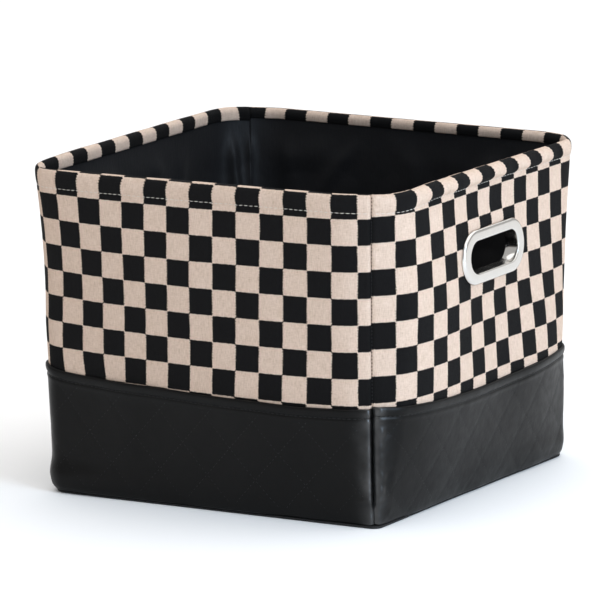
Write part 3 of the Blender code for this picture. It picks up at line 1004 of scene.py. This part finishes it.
def quilt_cells(run, u, z):
    """Place in the diamond grid: a grid line lies wherever either number is whole."""
    cross_u, cross_z = QUILT_CROSSING[run.name]
    down = (cross_z - z) / QUILT_TALL
    across = (u - cross_u) / QUILT_WIDE
    return across + down, across - down


def quilt_relief(run, u, z):
    """The quilting's shallow grooves, with the diamonds a little puffed between them."""
    relief = np.zeros(np.broadcast(u, z).shape)
    pillow = 1.0
    for value in quilt_cells(run, u, z):
        away = np.abs(value - np.round(value)) * QUILT_ACROSS
        relief += -0.00009 * bump(away, 0.0009)
        pillow = pillow * np.abs(np.sin(math.pi * value))
    return relief + 0.00012 * pillow**0.5


def near_fold(u):
    """1 at the folded corner's foot, and 0 well away from it."""
    return bump(u - 0.283, 0.05)


def band_belly(run, u, z):
    """The leatherette swells a little above the base, most at the folded corners."""
    share = near_fold(u) * (0.5 if run.forward else 1.0)
    return (0.0006 + 0.0018 * share) * bump(z - 0.014, 0.009)


def band_tuck(run, u, z):
    """And it rounds under where it meets the base."""
    share = near_fold(u) * (0.5 if run.forward else 1.0)
    return -(0.0004 + 0.0022 * share) * smooth((0.007 - z) / 0.006) ** 1.5


def band_field(run, u, z, stitch):
    """How far the leatherette's outer face lies out of the cloth's, below its edge stitching."""
    share = np.clip((z - WALL_FOOT) / (stitch - WALL_FOOT), 0, 1)
    out = 0.0014 + 0.0005 * bump(z - stitch + 0.0022, 0.0018) + 0.0004 * np.sin(math.pi * share) ** 0.5
    out = out + quilt_relief(run, u, z) * smooth((stitch - z) / 0.002)
    return out + band_belly(run, u, z) + band_tuck(run, u, z)


def band_bed(run, u, z):
    """The undulation that the band shares with what lies under it."""
    seam = from_ends(run, u)
    seed = 31 if run.forward else 32
    ripple = 0.00030 * waves(u, z, seed, (0.05, 0.16)) * smooth(seam / 0.02)
    crinkle = 0.00016 * waves(u, z, seed + 2, (0.006, 0.014)) * bump(seam - 0.007, 0.006)
    return cloth_detail(run, u, z) + band_groove(run, u, z) + ripple + crinkle


def leather_band(run):
    """The leatherette round the walls' foot; gives back its edge's heights and their distances."""
    edge = spline(EDGE_CHAIN, 0.0005)
    field = np.linspace(0, 1, 74)[:-1]
    u_top = run.distance(np.full((1, run.columns), BAND_TOP))[0]
    top = band_top(run, u_top)
    stitch = top - BAND_STITCH_DOWN
    field_z = WALL_FOOT + field[:, None] * (stitch - WALL_FOOT)[None]
    z = np.concatenate([field_z, stitch[None] + edge[:, 1:2]])
    u = run.distance(z)
    field_out = band_field(run, u, z, stitch[None])
    out = np.concatenate([field_out[: len(field)], np.broadcast_to(edge[:, 0:1], (len(edge), run.columns))])
    bed = band_bed(run, u, z)
    outer_grid = run.grid(z, out + bed)
    under = np.minimum(z, top[None] - 0.0006)
    inner_grid = run.grid(under, 0.00025 + bed + band_tuck(run, u, z))
    uv = np.stack([from_ends(run, u), z], 2)
    band = closed_sheet(f"leatherette_band_{run.name}", outer_grid, inner_grid, LEATHERETTE, uv)
    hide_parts(f"leather_band_{run.name}")
    under = f"checked_cloth_{run.name}"
    return top, u_top


# ---- lining ----

# Slack folds of the lining: distance from the back-left seam, lean, half-width, depth
FOLDS = {
    "right_back": [
        (0.000, 0.02, 0.0095, 0.0060),
        (0.040, 0.25, 0.0120, 0.0016),
        (0.095, -0.70, 0.0110, 0.0022),
        (0.150, 0.45, 0.0140, 0.0018),
        (0.225, -0.20, 0.0140, 0.0030),
        (0.262, 0.12, 0.0100, 0.0030),
        (0.330, 0.10, 0.0120, 0.0025),
        (0.540, 0.05, 0.0110, 0.0030),
    ],
    "left_front": [
        (0.000, -0.02, 0.0095, 0.0060),
        (0.023, 0.10, 0.0075, 0.0048),
        (0.090, 0.30, 0.0120, 0.0016),
        (0.130, -0.25, 0.0130, 0.0020),
        (0.200, 0.20, 0.0140, 0.0026),
        (0.268, -0.10, 0.0100, 0.0030),
        (0.350, 0.15, 0.0130, 0.0025),
        (0.545, -0.05, 0.0110, 0.0030),
    ],
}


def slack(run, u, z):
    """How far the lining hangs in from the wall."""
    from_back = run.length - u
    hang = smooth((LINER_TOP - 0.004 - z) / 0.026) * smooth((z - 0.006) / 0.05)
    depth = np.maximum(0.0008 * (1 + waves(u, z, 41 if run.forward else 42, (0.04, 0.11))), 0.0007)
    for place, lean, width, height in FOLDS[run.name]:
        centre = place + lean * (0.225 - z)
        side = from_back - centre
        depth = depth + height * bump(side, width * (1.25 - 0.55 * z / HEIGHT)) * smooth((0.246 - z) / 0.03)
    return depth * hang


def lining_wall(run):
    """The lining of one half of the walls, which hangs a little slack and is drawn flat at the handle."""
    z = np.broadcast_to(np.linspace(WALL_FOOT, LINER_TOP, 150)[:, None], (150, run.columns))
    u = run.distance(z)
    inward = slack(run, u, z) - fold_line(run, u, z)
    local = to_local(run.grid(z, -LINER_OUTER - inward), HANDLES[run.side])
    at_handle = np.abs(local[..., 0]) < HANDLE_REACH
    near = np.where(at_handle, oval_distance(local[..., 1], local[..., 2], WASHER), 1.0)
    inward = inward * smooth(near / 0.02)
    outer_grid = run.grid(z, -LINER_OUTER - inward)
    inner_grid = run.grid(z, -LINER_INNER - inward)
    depths = (WASHER_HIGH + CLEAR + LINER, WASHER_HIGH + CLEAR)
    outer_grid, inner_grid, keep = fit_handle(run, outer_grid, inner_grid, depths, WASHER)
    uv = np.stack([u, z], 2)
    outer_grid, inner_grid = move_rim(outer_grid), move_rim(inner_grid)
    wall = closed_sheet(f"lining_wall_{run.name}", outer_grid, inner_grid, LINING, uv, keep)
    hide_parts(f"liner_wall_{run.name}")


# ---- flat pieces: base, lining bottom, insert cover ----


def ring_outline(z, reach):
    """The wall's plan at height z, moved out by reach(run, distance along it)."""
    points = []
    for run in RUNS:
        heights = np.full((1, run.columns), z)
        line = run.grid(heights, reach(run, run.distance(heights)))[0]
        points.append(line[:-1])
    return np.concatenate(points)[:, :2]


def square_outline(side, radius, steps=10, straight=40):
    """A rounded square's points: each corner's arc, then the straight side after it."""
    reach = side / 2 - radius
    points = []
    for quarter, (sx, sy) in enumerate(((1, 1), (-1, 1), (-1, -1), (1, -1))):
        for step in range(steps + 1):
            angle = math.pi / 2 * (quarter + step / steps)
            points.append((sx * reach + radius * math.cos(angle), sy * reach + radius * math.sin(angle)))
        start = np.array(points[-1])
        side_run = 2 * reach * np.array([(-1, 0), (0, -1), (1, 0), (0, 1)][quarter])
        points += [tuple(start + side_run * share) for share in np.linspace(0, 1, straight + 1)[1:-1]]
    return np.array(points)


def flat_piece(name, outline, profile, surface, body="bin", gap=-1):
    """A closed piece of rings about an outline, each (inset, z); the rings beside the gap are filled in.

    The gap follows the ring of this number. Further in than the edge, rings are the outline made smaller.
    """
    edge = 0.004
    count = len(outline)
    following = np.roll(outline, -1, axis=0) - np.roll(outline, 1, axis=0)
    normal = np.stack([following[:, 1], -following[:, 0]], 1)
    normal /= np.linalg.norm(normal, axis=1)[:, None]
    rings = []
    for inset, z in profile:
        ring = outline - normal * min(inset, edge)
        if inset > edge:
            ring = ring * (1 - (inset - edge) / np.linalg.norm(ring, axis=1).mean())
        rings.append(np.concatenate([ring, np.full((count, 1), z)], 1))
    starts = [ring * count for ring in range(len(rings))]
    after_gap = (gap + 1) % len(rings)
    order = starts[after_gap:] + starts[:after_gap]
    faces = ring_faces(count, order)
    faces.append(tuple(range(order[0], order[0] + count))[::-1])
    faces.append(tuple(range(order[-1], order[-1] + count)))
    vertices = np.concatenate(rings)
    return new_object(name, vertices, faces, surface, vertices[:, :2], body)


def base_reach(run, u):
    """How far the base stands out under the band: a lip at the front corner that dies away from it."""
    if run.forward:
        return 0.0005 + 0.0017 * smooth(1 - u / 0.12)
    return 0.0005 + 0.0017 * smooth(1 - u / 0.22) - 0.0016 * near_fold(u)


def base_cover():
    profile = [
        (0.012, 0.0),
        (0.0016, 0.0),
        (0.0007, 0.00012),
        (0.0002, 0.0004),
        (0.0, 0.0009),
        (0.0002, 0.0014),
        (0.0007, 0.0017),
        (0.0014, BASE_PLATE),
        (0.0035, BASE_PLATE),
        (0.008, BASE_PLATE),
        (0.02, BASE_PLATE),
    ]
    made = flat_piece("base_cloth_cover", ring_outline(0.0, base_reach), profile, BASE_CLOTH)
    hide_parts("base_cover")


def inside_walls(run, u):
    """The lining bottom's edge, out from the walls' outer face."""
    return np.full(u.shape, -LINER_INNER - 2 * GAP)


def lining_bottom():
    low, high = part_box("liner_bottom")
    z0, z1 = low.z, high.z
    profile = [(0.02, z0), (0.0008, z0), (0.0001, z0 + 0.0002), (0.0, (z0 + z1) / 2)]
    profile += [(0.0001, z1 - 0.0002), (0.0008, z1), (0.006, z1), (0.02, z1)]
    made = flat_piece("lining_bottom", ring_outline(WALL_FOOT, inside_walls), profile, LINING)
    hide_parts("liner_bottom")


# The insert cover's sections, each (inset, height above the box's top)
INSERT_TOP = [
    (0.0, -0.0012),
    (0.0003, -0.0005),
    (0.0009, -0.0001),
    (0.0016, 0.0),
    (0.0030, 0.0),
    (0.0040, -0.0003),
    (0.0050, -0.0001),
    (0.008, 0.0001),
    (0.016, 0.0003),
    (0.04, 0.0005),
    (0.08, 0.0006),
    (0.128, 0.0007),
]
INSERT_SKIN = 0.0008
INSERT_UNDER = [
    (0.128, -INSERT_SKIN),
    (0.04, -INSERT_SKIN),
    (0.0020, -INSERT_SKIN),
    (INSERT_SKIN, -INSERT_SKIN - 0.0002),
]


def insert_cover():
    """The insert's cloth cover: a shallow cap, a little crowned, with a sewn edge."""
    low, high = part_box("base_insert_cover")
    side = high.x - low.x
    profile = [(0.0, low.z)]
    profile += [(inset, high.z + rise) for inset, rise in INSERT_TOP + INSERT_UNDER]
    profile.append((INSERT_SKIN, low.z))
    outline = square_outline(side, 0.012)
    made = flat_piece("base_insert_cloth_cover", outline, profile, LINING, "base_insert", len(INSERT_TOP))
    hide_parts("base_insert_cover")


# ---- handles ----


def fine_oval(size, depth, arc_steps=28, straight_steps=18):
    """Points round an oval at this local depth."""
    length, width = size
    radius = width / 2
    reach = length / 2 - radius
    points = []
    for sign in (1, -1):
        for step in range(arc_steps + 1):
            angle = -math.pi / 2 + math.pi * step / arc_steps
            across, up = reach + radius * math.cos(angle), radius * math.sin(angle)
            points.append((depth, sign * across, sign * up))
        for step in range(1, straight_steps):
            share = step / straight_steps
            points.append((depth, sign * reach * (1 - 2 * share), sign * radius))
    return np.array(points)


def oval_solid(name, profile, surface, matrix, cad_node):
    """A closed ring through ovals, each (how far past the opening's ends, local depth)."""
    flatter = (FLANGE[1] - OPENING[1]) / (FLANGE[0] - OPENING[0])
    rings = []
    for grow, depth in profile:
        rings.append(fine_oval((OPENING[0] + 2 * grow, OPENING[1] + 2 * grow * flatter), depth))
    count = len(rings[0])
    starts = [ring * count for ring in range(len(rings))]
    vertices = to_world(np.concatenate(rings), matrix)
    made = new_object(name, vertices, ring_faces(count, starts + starts[:1]), surface)
    face_outwards(made)
    made.data.set_sharp_from_angle(angle=math.radians(50))
    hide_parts(cad_node)


FLANGE_REACH = (FLANGE[0] - OPENING[0]) / 2
WASHER_REACH = (WASHER[0] - OPENING[0]) / 2
# Sections of the handle's two rings: how far past the opening's ends, local depth
EYELET_SECTION = [
    (0.0, EYELET_LOW + 0.0002),
    (0.0, FLANGE_FOOT - 0.0005),
    (0.0, FLANGE_FOOT + 0.0010),
    (0.0001, EYELET_HIGH - 0.0006),
    (0.0004, EYELET_HIGH - 0.0002),
    (0.0009, EYELET_HIGH),
    (0.0020, EYELET_HIGH),
    (0.0042, EYELET_HIGH),
    (0.0062, EYELET_HIGH),
    (FLANGE_REACH - 0.0022, EYELET_HIGH - 0.0001),
    (FLANGE_REACH - 0.0013, EYELET_HIGH - 0.0004),
    (FLANGE_REACH - 0.0006, EYELET_HIGH - 0.0010),
    (FLANGE_REACH - 0.0001, FLANGE_FOOT + 0.0009),
    (FLANGE_REACH, FLANGE_FOOT + 0.0003),
    (FLANGE_REACH - 0.0001, FLANGE_FOOT),
    (FLANGE_REACH - 0.0006, FLANGE_FOOT),
    (0.0020, FLANGE_FOOT + 0.0004),
    (0.0008, FLANGE_FOOT - 0.0004),
    (0.0008, EYELET_LOW + 0.0004),
    (0.0017, EYELET_LOW + 0.0001),
    (0.0020, EYELET_LOW - 0.0003),
    (0.0016, EYELET_LOW - 0.0006),
    (0.0007, EYELET_LOW - 0.0005),
]
WASHER_SECTION = [
    (0.0011, WASHER_LOW + 0.0002),
    (0.0011, WASHER_HIGH - 0.0002),
    (0.0014, WASHER_HIGH),
    (WASHER_REACH - 0.0004, WASHER_HIGH),
    (WASHER_REACH, WASHER_HIGH - 0.0004),
    (WASHER_REACH - 0.0004, WASHER_LOW + 0.0002),
    (WASHER_REACH - 0.0012, WASHER_LOW),
    (0.0016, WASHER_LOW),
]


def handles():
    parts = {
        "eyelet": (EYELET_SECTION, EYELET_METAL, "eyelet_metal"),
        "washer": (WASHER_SECTION, WASHER_METAL, "washer_metal"),
    }
    for side, matrix in HANDLES.items():
        for part, (section, metal, slot) in parts.items():
            oval_solid(f"{side}_hand_hole_{part}", section, metal, matrix, f"{side}_handle_{part}")


# ---- the wire in the hem ----

WIRE_Z = HEIGHT - 0.0035
WIRE_INSET = 0.0035
WIRE_RADIUS = 0.0020
WIRE_SIDES = 10


def rim_wire():
    """The sprung wire ring, bent along with the hem that holds it."""
    lines = []
    for run in RUNS:
        z = np.full((1, run.columns), WIRE_Z)
        line = run.grid(z, fold_line(run, run.distance(z), z) - WIRE_INSET)[0]
        lines.append(line[:-1])
    centre = move_rim(np.concatenate(lines))
    ahead = np.roll(centre, -1, axis=0) - np.roll(centre, 1, axis=0)
    ahead /= np.linalg.norm(ahead, axis=1)[:, None]
    side = np.cross(ahead, [0, 0, 1])
    side /= np.linalg.norm(side, axis=1)[:, None]
    above = np.cross(side, ahead)
    turn = 2 * math.pi * np.arange(WIRE_SIDES) / WIRE_SIDES
    offset = side[:, None] * np.cos(turn)[:, None] + above[:, None] * np.sin(turn)[:, None]
    vertices = (centre[:, None] + WIRE_RADIUS * offset).reshape(-1, 3)
    starts = [ring * WIRE_SIDES for ring in range(len(centre))]
    made = new_object("hem_wire", vertices, ring_faces(WIRE_SIDES, starts + starts[:1]), WIRE_METAL)
    face_outwards(made)
    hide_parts("rim_wire")


# ---- stitches ----


class Threads:
    """Collects short arched stitches of one thread, of this radius and rise, into one mesh."""

    SIDES = 6
    SWELL = (0.45, 0.9, 1.0, 0.9, 0.45)
    LIFT = (-1.0, 0.45, 1.0, 0.45, -1.0)

    def __init__(self, radius, rise):
        self.radius, self.rise = radius, rise
        self.vertices, self.faces = [], []

    def sew(self, run, first, last, out, out_last=None):
        """One stitch between two places (distance, height) on a wall, this far out of the plain wall."""
        start, normal = run.spot(*first)
        end = run.spot(*last)[0]
        start = start + normal * out
        end = end + normal * (out if out_last is None else out_last)
        across = normal.cross(end - start).normalized()
        begin = len(self.vertices)
        for r, (swell, lift) in enumerate(zip(self.SWELL, self.LIFT)):
            middle = start + (end - start) * (r / (len(self.SWELL) - 1)) + normal * (self.rise * lift)
            for s in range(self.SIDES):
                angle = 2 * math.pi * s / self.SIDES
                offset = across * math.cos(angle) + normal * math.sin(angle)
                self.vertices.append(tuple(middle + offset * self.radius * swell))
        starts = range(begin, len(self.vertices), self.SIDES)
        self.faces += ring_faces(self.SIDES, starts)
        self.faces.append(tuple(range(begin, begin + self.SIDES))[::-1])
        self.faces.append(tuple(range(starts[-1], starts[-1] + self.SIDES)))

    def build(self, name, surface):
        made = new_object(name, self.vertices, self.faces, surface)
        face_outwards(made)


def hem_stitches(run):
    """The cream topstitch under the hem, whose stitches vary a little."""
    threads = Threads(0.00026, 0.00022)
    pitch, length = 0.0042, 0.0031
    rng = np.random.RandomState(51 if run.forward else 52)
    u = 0.003
    while u < run.length - 0.004:
        first_z = STITCH_Z + rng.uniform(-0.00015, 0.00015)
        last_z = STITCH_Z + rng.uniform(-0.00015, 0.00015)
        out = float(cloth_detail(run, np.array(u + length / 2), np.array(STITCH_Z))) + 0.00002
        threads.sew(run, (u, first_z), (u + length * rng.uniform(0.93, 1.05), last_z), out)
        u += pitch
    threads.vertices = move_rim(threads.vertices)
    threads.build(f"hem_stitches_{run.name}", CREAM_THREAD)


def seam_stitches():
    """The corner seams' own thread, which shows as dark dots down each groove."""
    threads = Threads(0.00030, 0.00025)
    pitch, length = 0.0027, 0.0016
    run = RIGHT_BACK_RUN
    for at_back in (False, True):
        z = BAND_TOP + 0.002
        while z < HEIGHT - 0.003:
            in_hem = np.clip((z - STITCH_Z) / (HEIGHT - STITCH_Z), 0, 1)
            out = -0.0007 + 0.0012 * math.sin(math.pi * in_hem)
            u = run.last(z) - 0.0003 if at_back else 0.0003
            threads.sew(run, (u, z), (u, z + length), out)
            z += pitch
    threads.vertices = move_rim(threads.vertices)
    threads.build("corner_seam_stitches", BLACK_THREAD)


def band_surface(run, u, z, top):
    """How far the leatherette's outer face stands out at a stitch."""
    u, z = np.array(u), np.array(z)
    return float(band_field(run, u, z, np.array(top - BAND_STITCH_DOWN)) + band_bed(run, u, z))


def band_edge_stitches(run, top, u_top):
    """The stitches just below the band's edge, whose height is top at the distances u_top."""
    threads = Threads(0.00028, 0.00022)
    pitch, length = 0.0038, 0.0027
    order = np.argsort(u_top)
    u = 0.0035
    while u < u_top.max() - 0.004:
        top_here = float(np.interp(u, u_top[order], top[order]))
        z = top_here - BAND_STITCH_DOWN
        threads.sew(run, (u, z), (u + length, z), band_surface(run, u + length / 2, z, top_here) - 0.00005)
        u += pitch
    threads.build(f"band_edge_stitches_{run.name}", GLINT_THREAD)


def quilting_stitches(run, top, u_top):
    """The stitches along the quilting's two families of slanted lines."""
    threads = Threads(0.00017, 0.00008)
    pitch, length, margin = 0.0038, 0.0027, 0.003
    order = np.argsort(u_top)
    cross_u, cross_z = QUILT_CROSSING[run.name]
    slope = math.hypot(QUILT_WIDE, QUILT_TALL)
    highest = (BAND_TOP + 0.006 - cross_z) / QUILT_TALL
    lowest = -cross_z / QUILT_TALL
    for sign in (1, -1):
        for line in range(-4, int(u_top.max() / QUILT_WIDE) + 5):
            for down in np.arange(-highest, -lowest, pitch / slope):
                downs = np.array([down, down + length / slope])
                u, u_end = cross_u + (line - sign * downs) * QUILT_WIDE
                z, z_end = cross_z - downs * QUILT_TALL
                top_here = float(np.interp(u, u_top[order], top[order]))
                inside = min(u, u_end) >= margin and max(u, u_end) <= run.last(z) - margin
                if inside and 0.008 <= z_end and z <= top_here - BAND_STITCH_DOWN - 0.002:
                    first, last = (u, z), (u_end, z_end)
                    outs = [band_surface(run, *place, top_here) - 0.00008 for place in (first, last)]
                    threads.sew(run, first, last, *outs)
    threads.build(f"quilting_stitches_{run.name}", GLINT_THREAD)


# ---- build ----

rim_wire()
for run in RUNS:
    checked_panel(run)
    top_line = leather_band(run)
    band_edge_stitches(run, *top_line)
    quilting_stitches(run, *top_line)
    lining_wall(run)
    hem_stitches(run)
seam_stitches()
base_cover()
lining_bottom()
insert_cover()
handles()

for place in ("front_wall", "back_wall", "left_wall", "right_wall", "base_insert"):
    materials = frame["nodes"][f"{place}_board"].data.materials
    materials.clear()
    materials.append(FIBREBOARD)

# ---- floor, light and camera ----


def floor_material():
    n = Nodes("floor")
    place = n.object_place()
    return n.set(
        colour=n.mix(n.noise(place, 3.0, 2), (0.90, 0.90, 0.90), (0.92, 0.92, 0.92)),
        roughness=0.7,
        specular=0.1,
    )


def floor():
    """A wide disc just under the bin."""
    mesh = bmesh.new()
    bmesh.ops.create_circle(mesh, cap_ends=True, radius=30, segments=96)
    data = bpy.data.meshes.new("floor")
    mesh.to_mesh(data)
    mesh.free()
    data.materials.append(floor_material())
    made = put("floor", data)
    made.location.z = -0.0002


def softbox(name, place, target, size, power, colour):
    light = bpy.data.lights.new(name, "AREA")
    light.shape = "RECTANGLE"
    light.size, light.size_y = size
    light.energy = power
    light.color = colour
    made = put(name, light)
    made.location = place
    made.rotation_euler = (Vector(target) - Vector(place)).to_track_quat("-Z", "Y").to_euler()
    made.visible_camera = False


def sun(name, towards, strength, angle):
    """A broad even light from one direction, of this angular size in degrees."""
    light = bpy.data.lights.new(name, "SUN")
    light.energy = strength
    light.angle = math.radians(angle)
    made = put(name, light)
    made.rotation_euler = Vector(towards).to_track_quat("Z", "Y").to_euler()


def world():
    made = bpy.data.worlds.new("studio")
    made.use_nodes = True
    background = made.node_tree.nodes["Background"]
    background.inputs["Color"].default_value = (1.0, 1.0, 1.0, 1)
    background.inputs["Strength"].default_value = 0.56
    bpy.context.scene.world = made


def camera():
    """A long lens at the photo's angle: seen from the front's right, a little above and slightly rolled."""
    azimuth, elevation, roll = (math.radians(angle) for angle in (30.595, 11.095, -0.823))
    distance, shift_right, shift_up = 3.5394, -0.00852, 0.13348
    level = Vector((math.sin(azimuth), -math.cos(azimuth), 0))
    back = level * math.cos(elevation) + Vector((0, 0, math.sin(elevation)))
    right = Vector((0, 0, 1)).cross(back).normalized()
    up = back.cross(right)
    turned_right = right * math.cos(roll) + up * math.sin(roll)
    turned_up = up * math.cos(roll) - right * math.sin(roll)
    lens = bpy.data.cameras.new("camera")
    lens.lens = 273.95
    lens.sensor_width = 36
    lens.clip_end = 100
    made = put("camera", lens)
    pose = Matrix((turned_right, turned_up, back)).transposed().to_4x4()
    pose.translation = turned_right * shift_right + turned_up * shift_up + back * distance
    made.matrix_world = pose
    bpy.context.scene.camera = made


floor()
world()
sun("sky_light", (0.1, 0.25, 1.0), 2.15, 100)
softbox("right_light", (1.45, -0.47, 0.60), (0.1, 0, 0.12), (0.65, 1.15), 15, (0.78, 1.0, 1.25))
camera()
bpy.context.scene.view_settings.view_transform = "Standard"
